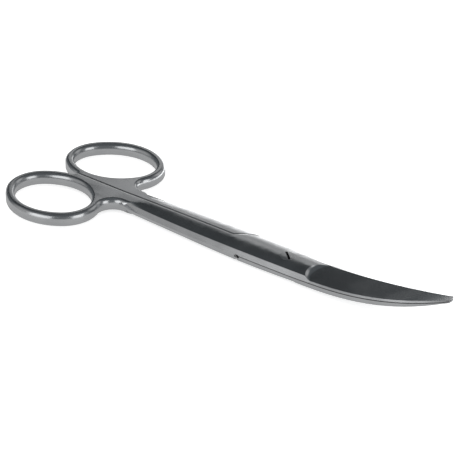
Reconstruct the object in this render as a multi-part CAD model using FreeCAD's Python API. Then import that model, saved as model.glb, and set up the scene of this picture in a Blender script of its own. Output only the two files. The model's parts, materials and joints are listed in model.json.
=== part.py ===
import FreeCAD, Part
import math
import os

# Curved dissecting scissors, 145 mm long, closed.
# Millimetres. The pivot axis is the Z axis, the tips point along +X and curve up.
# Z is 0 in the parting plane of the lap joint.
# The upper half carries the ring at -Y and the blade on top.

# Finger rings: a band on a slightly splayed four-arc oval.
# The half lengths and the end radius are those of the band's middle line.
RING_X = -75.7
RING_Y = 13.16
RING_LONG = 14.3
RING_SHORT = 11.4
RING_END_RADIUS = 9.1
RING_SPLAY = 9.3
RING_BAND = 2.57
RING_HEIGHT = 4.0
RING_ROUNDING = 1.2

# Web between ring and shank
WEB_BEHIND_MIDDLE = 3.3
WEB_BEFORE_RING = 4.9
WEB_BACK_X = RING_X - WEB_BEHIND_MIDDLE
WEB_FRONT_X = RING_X + RING_LONG + WEB_BEFORE_RING
WEB_TIP_X = -42.0
WEB_HALF_WIDTH = 4.3
WEB_ARM_RADIUS = 4.2
WEB_NOTCH_RADIUS = 1.0
WEB_PAST_MIDDLE = 3.0

# Shanks and joint block: sections of the closed pair.
# Each row holds x, half width at the parting plane, half width at the side edges,
# height of the top edge, depth of the bottom edge and height of the crown.
PAIR_SECTIONS = [
    (-62.0, 4.22, 3.34, 1.40, 1.40, 1.96),
    (-46.0, 5.06, 4.28, 1.42, 1.42, 2.24),
    (-30.0, 5.60, 4.90, 1.48, 1.48, 2.37),
    (-13.0, 5.65, 5.05, 1.60, 1.72, 2.50),
    (0.0, 5.43, 4.91, 1.68, 1.54, 2.60),
    (12.0, 5.06, 4.62, 1.74, 1.34, 2.69),
]

# Lap joint
LAP_X = -19.2
RELIEF_DIAMETER = 0.9
RELIEF_Z = -0.28
RELIEF_RUN = 14.0
HANDLE_GAP = 0.14
LAP_GAP = 0.14
BLADE_GAP = 0.14

# Blades
TIP_X = 53.7
BLADE_HALF_WIDTH = 5.14
TAPER_START_X = 21.5
TIP_HALF_WIDTH = 2.0
CURVE_START_X = 6.2
CURVE_RADIUS = 134.0
SIDE_LAND = 0.05
EDGE_HEIGHT_ROOT = 0.74
EDGE_HEIGHT_TIP = 0.50
EDGE_INSET_ROOT = 0.32
EDGE_INSET_TIP = 0.38
EDGE_THINNING = 5.0
RIDGE_SHARE = 0.6
RIDGE_HEIGHT_ROOT = 2.28
RIDGE_HEIGHT_TIP = 0.56
RIDGE_THINNING = 2.1
SPINE_HEIGHT_ROOT = 1.48
SPINE_HEIGHT_TIP = 0.25
SPINE_INSET_ROOT = 0.30
SPINE_INSET_TIP = 0.08
SPINE_THINNING = 4.0
BLADE_STATIONS = [-0.05, 0.1, 0.3, 0.5, 0.7, 0.85, 1.0]
BLADE_PAST = 0.6

# Shoulder, milled by a disc with a rounded rim
SHOULDER_X = 8.3
SHOULDER_Y = -1.3
SHOULDER_RADIUS = 6.5
SHOULDER_RIM = 2.2
SHOULDER_BITE = 0.02

# Pivot screw
HEAD_DIAMETER = 4.3
NECK_DIAMETER = 3.4
HEAD_CONE_DEPTH = 1.1
HEAD_LAND = 0.35
THREAD_DIAMETER = 2.8
SCREW_CLEARANCE = 0.04
SLOT_WIDTH = 0.62
SLOT_DEPTH = 0.9
SLOT_ANGLE = -40.0
PAST_CROWN = 0.6

REACH = 120.0
V = FreeCAD.Vector
UP = V(0, 0, 1)


def prism(points, z0, z1):
    wire = Part.makePolygon([V(x, y, z0) for x, y in points + points[:1]])
    return Part.Face(wire).extrude(V(0, 0, z1 - z0))


def turn_over(shape):
    turned = shape.copy()
    turned.rotate(V(0, 0, 0), V(1, 0, 0), 180)
    return turned


def arc(center, radius, angle0, angle1):
    points = []
    for angle in (angle0, (angle0 + angle1) / 2, angle1):
        points.append(center + V(radius * math.cos(angle), radius * math.sin(angle), 0))
    return Part.Arc(*points).toShape()


def oval_prism(grow, z0, z1):
    # Four tangent arcs, so that the band keeps its width all round
    end_run = RING_LONG - RING_END_RADIUS
    side_radius = (end_run ** 2 + RING_SHORT ** 2 - RING_END_RADIUS ** 2) / (2 * (RING_SHORT - RING_END_RADIUS))
    drop = side_radius - RING_SHORT
    turn = math.atan2(drop, end_run)
    end = RING_END_RADIUS + grow
    side = side_radius + grow
    wire = Part.Wire([
        arc(V(end_run, 0, z0), end, -turn, turn),
        arc(V(0, -drop, z0), side, turn, math.pi - turn),
        arc(V(-end_run, 0, z0), end, math.pi - turn, math.pi + turn),
        arc(V(0, drop, z0), side, math.pi + turn, 2 * math.pi - turn),
    ])
    solid = Part.Face(wire).extrude(V(0, 0, z1 - z0))
    solid.rotate(V(0, 0, 0), UP, -RING_SPLAY)
    solid.translate(V(RING_X, -RING_Y, 0))
    return solid


def upright_edges(solid, test):
    found = []
    for edge in solid.Edges:
        if len(edge.Vertexes) != 2:
            continue
        a, b = [v.Point for v in edge.Vertexes]
        if abs(a.x - b.x) < 1e-6 and abs(a.y - b.y) < 1e-6 and test(a):
            found.append(edge)
    return found


def rim_edges(plate, levels):
    found = []
    for edge in plate.Edges:
        box = edge.BoundBox
        flat = box.ZLength < 1e-6 and min(abs(box.ZMin - level) for level in levels) < 1e-6
        inside_shank = box.YMax > WEB_PAST_MIDDLE / 2 and box.XMax > WEB_BACK_X + 0.1
        if flat and not inside_shank:
            found.append(edge)
    return found


def ring_and_web():
    z1 = RING_HEIGHT / 2
    z0 = -z1
    web = prism([
        (WEB_BACK_X, WEB_PAST_MIDDLE),
        (WEB_TIP_X, WEB_PAST_MIDDLE),
        (WEB_FRONT_X, -WEB_HALF_WIDTH),
        (RING_X + RING_LONG / 2, -WEB_HALF_WIDTH),
        (WEB_BACK_X, -WEB_HALF_WIDTH),
    ], z0, z1)
    plate = oval_prism(RING_BAND / 2, z0, z1).fuse(web).removeSplitter()
    arm = upright_edges(plate, lambda p: RING_X < p.x < WEB_FRONT_X - 1 and p.y < -1)
    plate = plate.makeFillet(WEB_ARM_RADIUS, arm)
    notch = upright_edges(plate, lambda p: abs(p.x - WEB_BACK_X) < 0.01 and -3 < p.y < 1)
    plate = plate.makeFillet(WEB_NOTCH_RADIUS, notch)
    plate = plate.cut(oval_prism(-RING_BAND / 2, z0 - 1, z1 + 1))
    # Each rounding is three flats that touch the same circle, which keeps the facets few
    corner = RING_ROUNDING * math.tan(math.radians(22.5))
    first = RING_ROUNDING - corner
    second = corner - RING_ROUNDING * math.tan(math.radians(11.25))
    plate = plate.makeChamfer(first, rim_edges(plate, [z0, z1]))
    return plate.makeChamfer(second, rim_edges(plate, [z0, z0 + first, z1 - first, z1]))


def pair_section(x, half_width, edge_half_width, top_z, bottom_z, crown_z):
    right = V(x, half_width, 0)
    left = V(x, -half_width, 0)
    top_left = V(x, -edge_half_width, top_z)
    top_right = V(x, edge_half_width, top_z)
    low_left = V(x, -edge_half_width, -bottom_z)
    low_right = V(x, edge_half_width, -bottom_z)
    top = Part.Arc(top_left, V(x, 0, crown_z), top_right).toShape()
    bottom = Part.Arc(low_right, V(x, 0, -crown_z), low_left).toShape()
    return Part.Wire([
        top,
        Part.makeLine(top_right, right),
        Part.makeLine(right, low_right),
        bottom,
        Part.makeLine(low_left, left),
        Part.makeLine(left, top_left),
    ])


def pair_blank():
    return Part.makeLoft([pair_section(*row) for row in PAIR_SECTIONS], True, False)


def upper_share():
    y0 = -HANDLE_GAP / 2
    side = REACH / 4
    full = prism([
        (-REACH, y0),
        (LAP_X, y0),
        (LAP_X + side, y0 - side),
        (-REACH, -side),
    ], -side, side)
    gap = LAP_GAP * math.sqrt(2)
    over = prism([
        (LAP_X - 1, y0),
        (LAP_X + gap, y0),
        (LAP_X + gap + side, y0 + side),
        (REACH, side),
        (REACH, -side),
        (LAP_X - 1, -side),
    ], BLADE_GAP / 2, side)
    return full.fuse(over)


def lap_reliefs():
    # Drilled along the root of each step, through both halves
    relief = Part.makeCylinder(RELIEF_DIAMETER / 2, RELIEF_RUN, V(LAP_X, 0, RELIEF_Z), V(1, -1, 0))
    return relief.fuse(turn_over(relief))


def shoulder_plane():
    near = V(0, -BLADE_HALF_WIDTH + EDGE_INSET_ROOT, EDGE_HEIGHT_ROOT)
    ridge = V(0, BLADE_HALF_WIDTH * RIDGE_SHARE, RIDGE_HEIGHT_ROOT)
    tilt = math.degrees(math.atan2(ridge.z - near.z, ridge.y - near.y))
    return near, tilt


def shoulder_cutter():
    near, tilt = shoulder_plane()
    disc = Part.makeCylinder(SHOULDER_RADIUS, SHOULDER_RADIUS)
    rim = [e for e in disc.Edges if e.BoundBox.ZMax < 1e-6]
    disc = disc.makeFillet(SHOULDER_RIM, rim)
    disc.rotate(V(0, 0, 0), V(1, 0, 0), tilt)
    rise = (SHOULDER_Y - near.y) * math.tan(math.radians(tilt))
    disc.translate(V(SHOULDER_X + SHOULDER_RADIUS, SHOULDER_Y, near.z + rise - SHOULDER_BITE))
    return disc


def curve_height(x):
    run = max(0.0, x - CURVE_START_X)
    return CURVE_RADIUS - math.sqrt(CURVE_RADIUS ** 2 - run ** 2)


def blade_half_width(x):
    # An arc, tangent to the parallel root, that reaches the round tip at its half width
    full_run = TIP_X - TIP_HALF_WIDTH - TAPER_START_X
    narrowing = BLADE_HALF_WIDTH - TIP_HALF_WIDTH
    radius = (full_run ** 2 + narrowing ** 2) / (2 * narrowing)
    run = max(0.0, x - TAPER_START_X)
    return BLADE_HALF_WIDTH - (radius - math.sqrt(radius ** 2 - run ** 2))


def thinning(x, root, tip, power):
    share = min(1.0, max(0.0, (x - SHOULDER_X) / (TIP_X - SHOULDER_X)))
    return root + (tip - root) * share ** power


def blade_section(x, side):
    half = blade_half_width(x)
    edge_inset = thinning(x, EDGE_INSET_ROOT, EDGE_INSET_TIP, 1)
    edge_z = thinning(x, EDGE_HEIGHT_ROOT, EDGE_HEIGHT_TIP, EDGE_THINNING)
    ridge_z = thinning(x, RIDGE_HEIGHT_ROOT, RIDGE_HEIGHT_TIP, RIDGE_THINNING)
    spine_z = thinning(x, SPINE_HEIGHT_ROOT, SPINE_HEIGHT_TIP, SPINE_THINNING)
    spine_inset = thinning(x, SPINE_INSET_ROOT, SPINE_INSET_TIP, SPINE_THINNING)
    outline = [
        (-half, -BLADE_PAST),
        (-half, SIDE_LAND),
        (-half + edge_inset, edge_z),
        (half * RIDGE_SHARE, ridge_z),
        (half - spine_inset, spine_z),
        (half, SIDE_LAND),
        (half, -BLADE_PAST),
    ]
    base = curve_height(x)
    points = [V(x, side * y, base + side * z) for y, z in outline]
    return Part.makePolygon(points + points[:1])


def blade(side):
    run = TIP_X - SHOULDER_X
    stations = [SHOULDER_X + run * share for share in BLADE_STATIONS]
    solid = Part.makeLoft([blade_section(x, side) for x in stations], True, False)
    return solid.common(rounded_tip())


def rounded_tip():
    # The space that a blade may fill in plan, with its round tip
    middle_x = TIP_X - TIP_HALF_WIDTH
    width = 2 * BLADE_HALF_WIDTH + 1
    root = Part.makeBox(middle_x, width, 2 * REACH, V(0, -width / 2, -REACH))
    tip = Part.makeCylinder(TIP_HALF_WIDTH, 2 * REACH, V(middle_x, 0, -REACH))
    return root.fuse(tip)


def parting_space(side, lift):
    # The space on one side of the parting surface, which is turned about the pivot axis
    depth = side * REACH / 3
    middle_x = (CURVE_START_X + REACH / 2) / 2
    end_x = REACH / 2
    start = V(0, 0, lift)
    bend = V(CURVE_START_X, 0, lift)
    middle = V(middle_x, 0, curve_height(middle_x) + lift)
    end = V(end_x, 0, curve_height(end_x) + lift)
    far = V(end_x, 0, depth)
    axis_far = V(0, 0, depth)
    wire = Part.Wire([
        Part.makeLine(start, bend),
        Part.Arc(bend, middle, end).toShape(),
        Part.makeLine(end, far),
        Part.makeLine(far, axis_far),
        Part.makeLine(axis_far, start),
    ])
    swept = Part.Face(wire).revolve(V(0, 0, 0), UP, 180)
    swept.rotate(V(0, 0, 0), UP, -90)
    return swept


def screw_profile(grow):
    crown = PAIR_SECTIONS[-1][-1] + PAST_CROWN
    head = HEAD_DIAMETER / 2 + grow
    neck = NECK_DIAMETER / 2 + grow
    thread = THREAD_DIAMETER / 2
    land_z = PAIR_SECTIONS[-2][-1] - HEAD_LAND
    cone_z = land_z - HEAD_CONE_DEPTH
    step_z = -BLADE_GAP / 2
    points = [
        V(0, 0, -crown),
        V(thread, 0, -crown),
        V(thread, 0, step_z),
        V(neck, 0, step_z),
        V(neck, 0, cone_z),
        V(head, 0, land_z),
        V(head, 0, crown),
        V(0, 0, crown),
    ]
    return Part.Face(Part.makePolygon(points + points[:1])).revolve(V(0, 0, 0), UP, 360)


def pivot_screw(blank):
    screw = screw_profile(0).common(blank)
    crown = screw.BoundBox.ZMax
    slot = Part.makeBox(2 * HEAD_DIAMETER, SLOT_WIDTH, 2 * SLOT_DEPTH)
    slot.translate(V(-HEAD_DIAMETER, -SLOT_WIDTH / 2, crown - SLOT_DEPTH))
    slot.rotate(V(0, 0, 0), UP, SLOT_ANGLE)
    return screw.cut(slot)


def half_body(blank):
    share = blank.cut(shoulder_cutter()).common(upper_share())
    side = Part.makeBox(2 * REACH, REACH, REACH, V(-REACH, -REACH - HANDLE_GAP / 2, -REACH / 2))
    ring = ring_and_web().common(side)
    return share.fuse(ring)


def export_all(parts):
    # The frame's origin is the middle of the underside of the box around the closed scissors
    box = Part.makeCompound(list(parts.values())).optimalBoundingBox(False, False)
    move = V(-(box.XMin + box.XMax) / 2, 0, -box.ZMin)
    print("length", round(box.XLength, 3), "pivot at", [round(v, 3) for v in move])
    for name, shape in parts.items():
        shape.translate(move)
        print(name, "valid", shape.isValid(), "solids", len(shape.Solids), "volume", round(shape.Volume, 2))
        shape.exportStep("parts/%s.step" % name)


def main():
    os.makedirs("parts", exist_ok=True)
    blank = pair_blank()
    body = half_body(blank)
    turned = half_body(turn_over(blank))
    turned = turn_over(turned)
    half_gap = BLADE_GAP / 2
    reliefs = lap_reliefs()
    upper = body.fuse(blade(1)).cut(parting_space(-1, half_gap)).cut(reliefs)
    lower = turned.fuse(blade(-1).common(parting_space(-1, -half_gap))).cut(reliefs)
    export_all({
        "upper_half": upper.cut(screw_profile(SCREW_CLEARANCE)).removeSplitter(),
        "lower_half": lower.cut(screw_profile(0)).removeSplitter(),
        "pivot_screw": pivot_screw(blank),
    })


main()
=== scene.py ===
import bpy
import json
import math
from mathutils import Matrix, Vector


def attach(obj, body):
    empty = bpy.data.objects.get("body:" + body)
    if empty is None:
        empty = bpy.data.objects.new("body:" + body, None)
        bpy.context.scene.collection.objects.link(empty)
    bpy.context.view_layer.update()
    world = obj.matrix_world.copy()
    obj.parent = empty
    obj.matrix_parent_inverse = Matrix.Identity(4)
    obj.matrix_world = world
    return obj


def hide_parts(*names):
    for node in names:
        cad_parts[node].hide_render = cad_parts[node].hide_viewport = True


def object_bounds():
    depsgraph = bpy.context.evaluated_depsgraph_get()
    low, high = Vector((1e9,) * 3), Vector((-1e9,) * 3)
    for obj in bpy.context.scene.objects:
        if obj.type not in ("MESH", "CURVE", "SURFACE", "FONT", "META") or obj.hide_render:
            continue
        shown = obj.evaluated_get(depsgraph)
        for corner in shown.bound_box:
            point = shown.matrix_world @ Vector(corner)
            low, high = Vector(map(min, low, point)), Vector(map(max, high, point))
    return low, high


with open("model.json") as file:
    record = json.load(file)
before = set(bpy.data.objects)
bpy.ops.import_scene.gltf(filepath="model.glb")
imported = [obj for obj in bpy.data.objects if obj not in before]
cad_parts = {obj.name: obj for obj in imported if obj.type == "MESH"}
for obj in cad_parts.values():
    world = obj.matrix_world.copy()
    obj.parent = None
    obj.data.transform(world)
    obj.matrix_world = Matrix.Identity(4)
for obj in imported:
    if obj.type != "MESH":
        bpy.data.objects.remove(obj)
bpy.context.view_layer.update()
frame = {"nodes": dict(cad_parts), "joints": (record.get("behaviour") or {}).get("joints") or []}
mm = 0.001
pivot = Vector(frame["joints"][0]["pos_m"])


class Wire:
    # wraps a node socket so that shader maths can be written as an expression
    def __init__(self, tree, socket):
        self.tree = tree
        self.socket = socket

    def maths(self, operation, *others, swap=False):
        parts = [self, *others]
        if swap:
            parts.reverse()
        return addNode(self.tree, "ShaderNodeMath", {"operation": operation},
                       dict(enumerate(parts)))

    def __add__(self, other): return self.maths("ADD", other)
    def __radd__(self, other): return self.maths("ADD", other)
    def __sub__(self, other): return self.maths("SUBTRACT", other)
    def __rsub__(self, other): return self.maths("SUBTRACT", other, swap=True)
    def __mul__(self, other): return self.maths("MULTIPLY", other)
    def __rmul__(self, other): return self.maths("MULTIPLY", other)
    def __truediv__(self, other): return self.maths("DIVIDE", other)

    def out(self, name):
        return Wire(self.tree, self.socket.node.outputs[name])


def addNode(tree, kind, settings=None, sockets=None):
    node = tree.nodes.new(kind)
    for name, value in (settings or {}).items():
        if name == "stops":
            setStops(node.color_ramp, value)
        else:
            setattr(node, name, value)
    for name, value in (sockets or {}).items():
        if isinstance(value, Wire):
            tree.links.new(value.socket, node.inputs[name])
        else:
            node.inputs[name].default_value = value
    return Wire(tree, node.outputs[0]) if node.outputs else node


def setStops(ramp, stops):
    while len(ramp.elements) < len(stops):
        ramp.elements.new(1.0)
    for element, (place, level) in zip(ramp.elements, stops):
        element.position = place
        element.color = (level, level, level, 1)


def smoothRange(value, low, high):
    return addNode(value.tree, "ShaderNodeMapRange", {"interpolation_type": "SMOOTHSTEP"},
                   {"Value": value, "From Min": low, "From Max": high})


def dotWith(vector, axis):
    return addNode(vector.tree, "ShaderNodeVectorMath", {"operation": "DOT_PRODUCT"},
                   {0: vector, 1: axis}).out("Value")


def mixColour(factor, first, second):
    # sockets 6 and 7 are the two colours, and output 2 is their mix
    start = (*first, 1) if isinstance(first, tuple) else first
    mixed = addNode(factor.tree, "ShaderNodeMix", {"data_type": "RGBA"},
                    {"Factor": factor, 6: start, 7: (*second, 1)})
    return Wire(mixed.tree, mixed.socket.node.outputs[2])


steelLook = {
    "colour": (0.570, 0.580, 0.590),
    "dull": (0.500, 0.510, 0.522),
    "worn": (0.640, 0.650, 0.660),
    "roughness": 0.23,
    "roughnessSpread": 0.07,
    "wornRoughness": 0.15,
    "grainPitch": 0.14 * mm,
    "grainLength": 5 * mm,
    "grainHeight": 0.0010 * mm,
    "grainDetail": 3.0,
    "grainShare": 0.45,            # of the colour's spread, the rest is the cloudy polishing
    "mottlePitch": 7 * mm,
    "mottleDetail": 5.0,
    "mottleRange": (0.35, 0.68),
    "mottleRoughness": 0.05,
    "edgeRadius": 0.035 * mm,
    "edgeSamples": 6,
    "edgeBend": (0.97, 0.85),      # cosines between which an edge counts as worn
    "edgeBreaks": (0.25, 0.55),
}

screwLook = {**steelLook, "roughness": 0.26}

# painted shade: the near black laid into the driver slot, the drilled holes, along the parting
# lines and on the blade ends
paintedShade = {
    "colour": (0.012, 0.012, 0.013),
    "roughness": 0.55,
}

# places on the steel are measured from the pivot
driverSlot = {
    "angle": math.radians(-40),
    "halfWidth": 0.335 * mm,
    "floor": 0.8 * mm,
}

relief = {
    "start": Vector((-19.0, 0, -0.28)) * mm,
    "radius": 0.62 * mm,
    "before": 0.1 * mm,
}

# the parting lines between the halves, darkened with painted shade and bumped into a groove
seams = {
    "topFacing": 0.6,              # how far up or down the top and underside face, a side less
    "lapX": -19.2 * mm,            # where the two halves cross over
    "sideX": -13.8 * mm,           # where the line on the sides starts, beside the drilled hole
    "curveStart": 6.2 * mm,
    "curveRadius": 134.0 * mm,
    "halfWidth": 0.16 * mm,
    "sideHalfWidth": 0.13 * mm,
    "softness": 0.2,
    "darkness": 0.80,
    "stepDepth": 0.12 * mm,
    "grooveHalfWidth": 0.5 * mm,
    "grooveSlope": 0.16,
    "farAway": 10 * mm,
}

# the blade ends, darkened with painted shade
tips = {
    "start": 51.8 * mm,
    "full": 53.2 * mm,
    "topFacing": 0.9,
    "darkness": 0.6,
}


def slotMask(spot):
    # painted shade in the driver slot, on its walls and floor
    cosine, sine = math.cos(driverSlot["angle"]), math.sin(driverSlot["angle"])
    across = (spot["y"] * cosine - spot["x"] * sine).maths("ABSOLUTE")
    inside = across.maths("LESS_THAN", driverSlot["halfWidth"])
    return inside * spot["z"].maths("GREATER_THAN", driverSlot["floor"])


def reliefMask(spot, side):
    # painted shade in the small drilled hole at the root of one lap step, which runs at 45 degrees
    away = spot["x"] - relief["start"].x
    height = spot["z"] - side * relief["start"].z
    across = (away + side * spot["y"]) * math.sqrt(0.5)
    along = (away - side * spot["y"]) * math.sqrt(0.5)
    distance = (across * across + height * height).maths("SQRT")
    inside = distance.maths("LESS_THAN", relief["radius"])
    return inside * along.maths("GREATER_THAN", -relief["before"])


def topSeam(spot):
    # distance from the joint line of the handles, and further on from the lap step at 45 degrees
    straight = spot["y"].maths("ABSOLUTE")
    sign = spot["z"].maths("SIGN")
    slanted = ((spot["x"] - seams["lapX"] - sign * spot["y"]) * math.sqrt(0.5)).maths("ABSOLUTE")
    handle = spot["x"].maths("LESS_THAN", seams["lapX"])
    lap = (1.0 - handle) * (sign * spot["y"]).maths("GREATER_THAN", 0.0)
    return straight * handle + slanted * lap + (1.0 - handle - lap) * seams["farAway"]


def sideSeam(spot):
    # distance from the line where the blades part, seen on their sides
    reach = (spot["x"] * spot["x"] + spot["y"] * spot["y"]).maths("SQRT")
    run = (reach - seams["curveStart"]).maths("MAXIMUM", 0.0) * spot["x"].maths("GREATER_THAN", 0.0)
    bend = seams["curveRadius"]
    rise = bend - (bend * bend - run * run).maths("SQRT")
    behind = spot["x"].maths("LESS_THAN", seams["sideX"])
    return (spot["z"] - rise).maths("ABSOLUTE") + behind * seams["farAway"]


def lineMask(distance, halfWidth):
    outer = halfWidth * (1 + seams["softness"])
    inner = halfWidth * (1 - seams["softness"])
    return smoothRange(distance, outer, inner)


def seamMask(spot):
    # painted shade along the parting lines between the halves, on their tops and on their sides
    flat = spot["facing"].maths("GREATER_THAN", seams["topFacing"])
    top = lineMask(topSeam(spot), seams["halfWidth"]) * flat
    side = lineMask(sideSeam(spot), seams["sideHalfWidth"]) * (1.0 - flat)
    # the walls of the lap step face each other, and no light comes in between them
    step = topSeam(spot).maths("LESS_THAN", seams["stepDepth"]) * (1.0 - flat)
    step = step * spot["x"].maths("GREATER_THAN", seams["lapX"])
    return (top + side).maths("MAXIMUM", step) * seams["darkness"]


def tipMask(spot):
    # painted shade on the ground ends of the blades, which mirror the dark part of the room
    end = smoothRange(spot["x"], tips["start"], tips["full"])
    return end * spot["facing"].maths("LESS_THAN", tips["topFacing"]) * tips["darkness"]


def satinSteel(name, look, masks, grooved):
    material = bpy.data.materials.new(name)
    material.use_nodes = True
    tree = material.node_tree
    tree.nodes.clear()
    place = addNode(tree, "ShaderNodeTexCoord").out("Object")
    away = addNode(tree, "ShaderNodeVectorMath", {"operation": "SUBTRACT"}, {0: place, 1: pivot})
    true = addNode(tree, "ShaderNodeNewGeometry").out("True Normal")
    spot = {"x": dotWith(away, (1, 0, 0)),
            "y": dotWith(away, (0, 1, 0)),
            "z": dotWith(away, (0, 0, 1)),
            "facing": dotWith(true, (0, 0, 1)).maths("ABSOLUTE")}
    fine = 1 / look["grainPitch"]
    stretched = addNode(tree, "ShaderNodeMapping", None,
                        {"Vector": place, "Scale": (1 / look["grainLength"], fine, fine)})
    grain = addNode(tree, "ShaderNodeTexNoise", None,
                    {"Vector": stretched, "Scale": 1.0, "Detail": look["grainDetail"]})
    mottle = addNode(tree, "ShaderNodeTexNoise", None,
                     {"Vector": place, "Scale": 1 / look["mottlePitch"],
                      "Detail": look["mottleDetail"]})
    patchy = smoothRange(mottle, *look["mottleRange"])
    rounded = addNode(tree, "ShaderNodeBevel", {"samples": look["edgeSamples"]},
                      {"Radius": look["edgeRadius"]})
    bend = smoothRange(dotWith(rounded, true), *look["edgeBend"])
    edge = bend * smoothRange(grain, *look["edgeBreaks"])
    spread = patchy * (1 - look["grainShare"]) + grain * look["grainShare"]
    colour = mixColour(spread, look["dull"], look["colour"])
    colour = mixColour(edge, colour, look["worn"])
    roughness = look["roughness"] + (grain - 0.5) * look["roughnessSpread"]
    roughness = roughness + (patchy - 0.5) * look["mottleRoughness"]
    roughness = roughness - edge * (look["roughness"] - look["wornRoughness"])
    # the masks paint shade in near black, and take the metal away there
    dark = masks[0](spot)
    for mask in masks[1:]:
        dark = dark.maths("MAXIMUM", mask(spot))
    colour = mixColour(dark, colour, paintedShade["colour"])
    roughness = roughness + dark * (paintedShade["roughness"] - look["roughness"])
    height = grain * look["grainHeight"]
    if grooved:
        depth = (seams["grooveHalfWidth"] - topSeam(spot)).maths("MAXIMUM", 0.0)
        height = height - depth * seams["grooveSlope"]
    normal = addNode(tree, "ShaderNodeBump", None,
                     {"Strength": 1.0, "Distance": 1.0, "Height": height, "Normal": rounded})
    finish = {"Base Color": colour, "Metallic": 1.0 - dark, "Roughness": roughness,
              "Normal": normal}
    shader = addNode(tree, "ShaderNodeBsdfPrincipled", None, finish)
    addNode(tree, "ShaderNodeOutputMaterial", None, {"Surface": shader})
    return material


smoothing = {
    "Merge": 0.0005 * mm,
    "Handle Crease": math.radians(27),
    "Blade Crease": math.radians(11),
    "Blade Start": pivot.x + 6.5 * mm,
}

normalWeight = 100


def smoothTree(name):
    # merges the node's triangles and keeps its real edges sharp, on the blades the fine ones too
    tree = bpy.data.node_groups.new(name, "GeometryNodeTree")
    face = tree.interface
    face.new_socket("Geometry", in_out="INPUT", socket_type="NodeSocketGeometry")
    for size in smoothing:
        face.new_socket(size, in_out="INPUT", socket_type="NodeSocketFloat")
    face.new_socket("Material", in_out="INPUT", socket_type="NodeSocketMaterial")
    face.new_socket("Geometry", in_out="OUTPUT", socket_type="NodeSocketGeometry")
    given = addNode(tree, "NodeGroupInput")
    merged = addNode(tree, "GeometryNodeMergeByDistance", None,
                     {"Geometry": given, "Distance": given.out("Merge")})
    angle = addNode(tree, "GeometryNodeInputMeshEdgeAngle").out("Unsigned Angle")
    position = addNode(tree, "GeometryNodeInputPosition")
    along = addNode(tree, "ShaderNodeSeparateXYZ", None, {0: position})
    blade = addNode(tree, "FunctionNodeCompare", {"operation": "GREATER_THAN"},
                    {0: along, 1: given.out("Blade Start")})
    crease = addNode(tree, "GeometryNodeSwitch", {"input_type": "FLOAT"},
                     {"Switch": blade, "False": given.out("Handle Crease"),
                      "True": given.out("Blade Crease")})
    flat = addNode(tree, "FunctionNodeCompare", {"operation": "LESS_THAN"}, {0: angle, 1: crease})
    whole = addNode(tree, "GeometryNodeSetShadeSmooth", {"domain": "FACE"},
                    {"Geometry": merged, "Shade Smooth": True})
    edged = addNode(tree, "GeometryNodeSetShadeSmooth", {"domain": "EDGE"},
                    {"Geometry": whole, "Shade Smooth": flat})
    real = addNode(tree, "GeometryNodeRealizeInstances", None, {"Geometry": edged})
    dressed = addNode(tree, "GeometryNodeSetMaterial", None,
                      {"Geometry": real, "Material": given.out("Material")})
    addNode(tree, "NodeGroupOutput", None, {"Geometry": dressed})
    return tree


handForm = {
    "halfBand": 1.285 * mm,
    "halfHeight": 2.0 * mm,
    "fadeStart": -56.0 * mm,
    "fadeEnd": -47.0 * mm,
    "matingReach": 0.2 * mm,       # the faces between the halves stay flat
    "matingFacing": 0.9,
    "levelBelow": 0.05,            # and so do the level tops
}


def softenNormals(mesh):
    # the rings and the web are rounded by hand, so light falls on them as on an oval section
    normals = [Vector(normal.vector) for normal in mesh.corner_normals]
    for corner in mesh.loops:
        point = mesh.vertices[corner.vertex_index].co - pivot
        normal = normals[corner.index]
        outward = Vector((normal.x, normal.y, 0))
        mating = abs(point.y) < handForm["matingReach"] and abs(normal.y) > handForm["matingFacing"]
        if mating or outward.length < handForm["levelBelow"] or point.x > handForm["fadeEnd"]:
            continue
        fade = handForm["fadeEnd"] - handForm["fadeStart"]
        share = min(1.0, (handForm["fadeEnd"] - point.x) / fade)
        height = max(-1.0, min(1.0, point.z / handForm["halfHeight"]))
        made = outward.normalized() * (math.sqrt(1 - height * height) / handForm["halfBand"])
        made.z = height / handForm["halfHeight"]
        normals[corner.index] = normal.lerp(made.normalized(), share).normalized()
    mesh.normals_split_custom_set(normals)


finishedPieces = [
    {"node": "upper_half", "piece": "upperHalfSteel", "body": "upper", "slot": "satin_steel",
     "soften": True},
    {"node": "lower_half", "piece": "lowerHalfSteel", "body": "lower", "slot": "satin_steel",
     "soften": True},
    {"node": "pivot_screw", "piece": "pivotScrewSteel", "body": "lower", "slot": "screw_steel",
     "soften": False},
]


def finishPiece(choice, tree, material):
    forged = frame["nodes"][choice["node"]].data.copy()
    source = bpy.data.objects.new(choice["piece"] + "Source", forged)
    bpy.context.scene.collection.objects.link(source)
    source.data.materials.clear()
    modifier = source.modifiers.new("smooth", "NODES")
    modifier.node_group = tree
    inputs = [item for item in tree.interface.items_tree if item.in_out == "INPUT"]
    keys = {item.name: item.identifier for item in inputs}
    for size, value in smoothing.items():
        modifier[keys[size]] = value
    modifier[keys["Material"]] = material
    # keeps the flats flat beside their roundings
    even = source.modifiers.new("even", "WEIGHTED_NORMAL")
    even.keep_sharp = True
    even.weight = normalWeight
    depsgraph = bpy.context.evaluated_depsgraph_get()
    mesh = bpy.data.meshes.new_from_object(source.evaluated_get(depsgraph), depsgraph=depsgraph)
    bpy.data.objects.remove(source)
    mesh.name = choice["piece"]
    if choice["soften"]:
        softenNormals(mesh)
    piece = bpy.data.objects.new(choice["piece"], mesh)
    bpy.context.scene.collection.objects.link(piece)
    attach(piece, choice["body"])
    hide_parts(choice["node"])
    print("finished", choice["piece"], len(mesh.polygons), "triangles")


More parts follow.
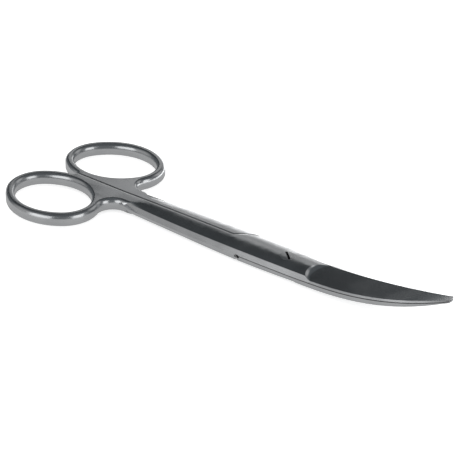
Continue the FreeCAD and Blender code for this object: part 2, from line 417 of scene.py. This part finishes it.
paperFloor = {
    "size": 4.0,
    "below": 0.02 * mm,
    "colour": (0.90, 0.90, 0.90),
    "whiteness": 0.60,         # what the camera sees besides the lit paper
    "mirrored": 0.42,          # what the steel mirrors of the paper, besides its lit part
    "mirroredPaper": 0.22,
    "farGlow": 2.2,            # the lit sweep that the steel mirrors beyond the scissors
    "farSide": Vector((0.233, 0.972, 0)),
    "farStart": 18 * mm,
    "farFull": 42 * mm,
}


def makeFloor():
    size = paperFloor["size"] / 2
    mesh = bpy.data.meshes.new("paperFloor")
    corners = [(-size, -size, 0), (size, -size, 0), (size, size, 0), (-size, size, 0)]
    mesh.from_pydata(corners, [], [(0, 1, 2, 3)])
    floor = bpy.data.objects.new("paperFloor", mesh)
    bpy.context.scene.collection.objects.link(floor)
    floor.location.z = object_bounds()[0].z - paperFloor["below"]
    material = bpy.data.materials.new("palePaper")
    material.use_nodes = True
    tree = material.node_tree
    tree.nodes.clear()
    place = addNode(tree, "ShaderNodeTexCoord").out("Object")
    distance = dotWith(place, paperFloor["farSide"])
    beyond = smoothRange(distance, paperFloor["farStart"], paperFloor["farFull"])
    rays = addNode(tree, "ShaderNodeLightPath")
    mirrored = rays.out("Is Glossy Ray")
    white = mixColour(mirrored, paperFloor["colour"], (paperFloor["mirroredPaper"],) * 3)
    paper = addNode(tree, "ShaderNodeBsdfDiffuse", None, {"Color": white})
    glow = rays.out("Is Camera Ray") * paperFloor["whiteness"]
    glow = glow + mirrored * (beyond * paperFloor["farGlow"] + paperFloor["mirrored"])
    light = addNode(tree, "ShaderNodeEmission", None, {"Color": (1, 1, 1, 1), "Strength": glow})
    both = addNode(tree, "ShaderNodeAddShader", None, {0: paper, 1: light})
    addNode(tree, "ShaderNodeOutputMaterial", None, {"Surface": both})
    mesh.materials.append(material)
    print("floor laid")


photoView = {
    "lookAt": pivot + Vector((-24.92, 4.88, 0)) * mm,
    "distance": 615.0 * mm,
    "azimuth": math.radians(39.99),
    "elevation": math.radians(28.36),
    "sensor": 36.0,
    "lens": 172.926,
    "clipStart": 10 * mm,
}


def towards(azimuth, elevation):
    # azimuth 0 looks along +Y and turns towards -X
    level = math.cos(elevation)
    return Vector((-math.sin(azimuth) * level, math.cos(azimuth) * level, math.sin(elevation)))


def makeCamera():
    back = -towards(photoView["azimuth"], -photoView["elevation"])
    data = bpy.data.cameras.new("photoCamera")
    data.sensor_width = photoView["sensor"]
    data.lens = photoView["lens"]
    data.clip_start = photoView["clipStart"]
    camera = bpy.data.objects.new("photoCamera", data)
    bpy.context.scene.collection.objects.link(camera)
    camera.location = photoView["lookAt"] + back * photoView["distance"]
    camera.rotation_mode = "QUATERNION"
    camera.rotation_quaternion = (-back).to_track_quat("-Z", "Y")
    bpy.context.scene.camera = camera
    print("camera placed")


# levels of the studio around the scissors, as the steel mirrors them
studio = {
    "plain": 0.80,                       # for every other ray
    "seen": 1.0,                         # for the camera
    "brightest": 2.0,
    "shadeTint": (0.88, 0.985, 1.06),    # the unlit part of the room is a little blue
    "shadeRange": (0.05, 0.35),
    "overhead": 0.115,
    "overheadRange": (0.45, 0.75),       # sines of the elevation
    # by azimuth in degrees, low round the room
    "round": [(-180, 0.19), (-115, 0.19), (-85, 0.30), (-60, 0.24), (-40, 0.13), (-5, 0.12),
              (12, 0.26), (60, 0.10), (75, 0.12), (100, 0.13), (118, 0.44), (155, 0.43),
              (165, 0.30), (180, 0.19)],
    # by elevation in degrees, over the white sweep beyond the scissors
    "sweep": [(-90, 1.9), (0, 1.7), (5, 1.25), (10, 0.85), (15, 0.52), (20, 0.34), (25, 0.29),
              (30, 0.27), (35, 0.15), (40, 0.095), (45, 0.062), (62, 0.062), (75, 0.14),
              (90, 0.14)],
    "sweepMiddle": 24,
    "sweepInner": 12,
    "sweepOuter": 24,
    # soft spots, by azimuth, elevation, inner and outer half angle, and level
    "spots": [(57, 42, 13, 23, 0.044), (55, 26, 7, 12, 0.05), (41, 28, 3, 7, 0.62),
              (-26, 25, 6, 24, 0.58), (82, 48, 14, 24, 0.055)],
}


def cone(cosine, inner, outer):
    # full within the inner angle and none beyond the outer one, both in degrees
    return smoothRange(cosine, math.cos(math.radians(outer)), math.cos(math.radians(inner)))


def ramp(tree, place, first, span, levels):
    top = studio["brightest"]
    stops = [((degrees - first) / span, level / top) for degrees, level in levels]
    return addNode(tree, "ShaderNodeValToRGB", {"stops": stops}, {0: place}) * top


def makeWorld():
    world = bpy.data.worlds.new("studioWorld")
    world.use_nodes = True
    tree = world.node_tree
    tree.nodes.clear()
    direction = addNode(tree, "ShaderNodeTexCoord").out("Generated")
    height = dotWith(direction, (0, 0, 1))
    elevation = height.maths("ARCSINE") / math.pi + 0.5
    turn = dotWith(direction, (-1, 0, 0)).maths("ARCTAN2", dotWith(direction, (0, 1, 0)))
    low = ramp(tree, turn / (2 * math.pi) + 0.5, -180, 360, studio["round"])
    high = ramp(tree, elevation, -90, 180, studio["sweep"])
    middle = towards(math.radians(studio["sweepMiddle"]), 0)
    flatLength = (1.0 - height * height).maths("MAXIMUM", 0.0001).maths("SQRT")
    near = cone(dotWith(direction, middle) / flatLength, studio["sweepInner"], studio["sweepOuter"])
    over = smoothRange(height, *studio["overheadRange"])
    around = low * (1.0 - over) + over * studio["overhead"]
    level = around * (1.0 - near) + high * near
    for azimuth, lift, inner, outer, spotLevel in studio["spots"]:
        axis = towards(math.radians(azimuth), math.radians(lift))
        spot = cone(dotWith(direction, axis), inner, outer)
        level = level * (1.0 - spot) + spot * spotLevel
    rays = addNode(tree, "ShaderNodeLightPath")
    glossy = rays.out("Is Glossy Ray")
    level = level * glossy + (1.0 - glossy) * studio["plain"]
    tint = mixColour(smoothRange(level, *studio["shadeRange"]), studio["shadeTint"], (1, 1, 1))
    soft = addNode(tree, "ShaderNodeBackground", None, {"Color": tint, "Strength": level})
    white = addNode(tree, "ShaderNodeBackground", None,
                    {"Color": (1, 1, 1, 1), "Strength": studio["seen"]})
    mixed = addNode(tree, "ShaderNodeMixShader", None,
                    {"Fac": rays.out("Is Camera Ray"), 1: soft, 2: white})
    addNode(tree, "ShaderNodeOutputWorld", None, {"Surface": mixed})
    bpy.context.scene.world = world
    print("studio set")


softboxes = [
    {"name": "tipSoftbox", "azimuth": -92, "elevation": 14,
     "distance": 1.0, "size": 0.72, "power": 1.9},
    {"name": "ringSoftbox", "azimuth": 172, "elevation": 14,
     "distance": 1.0, "size": 0.72, "power": 1.9},
]


def makeLights():
    for box in softboxes:
        away = towards(math.radians(box["azimuth"]), math.radians(box["elevation"]))
        data = bpy.data.lights.new(box["name"], "AREA")
        data.shape = "SQUARE"
        data.size = box["size"]
        data.energy = box["power"]
        lamp = bpy.data.objects.new(box["name"], data)
        bpy.context.scene.collection.objects.link(lamp)
        lamp.location = pivot + away * box["distance"]
        lamp.rotation_mode = "QUATERNION"
        lamp.rotation_quaternion = (-away).to_track_quat("-Z", "Y")
    print("lamps lit")


def main():
    tree = smoothTree("smoothForging")
    reliefs = [lambda spot: reliefMask(spot, 1), lambda spot: reliefMask(spot, -1)]
    materials = {
        "satin_steel": satinSteel("satinSteel", steelLook, [seamMask, tipMask, *reliefs], True),
        "screw_steel": satinSteel("screwSteel", screwLook, [slotMask], False),
    }
    for choice in finishedPieces:
        finishPiece(choice, tree, materials[choice["slot"]])
    makeFloor()
    makeCamera()
    makeWorld()
    makeLights()
    bpy.context.scene.view_settings.view_transform = "Standard"
    print("scene ready")


main()
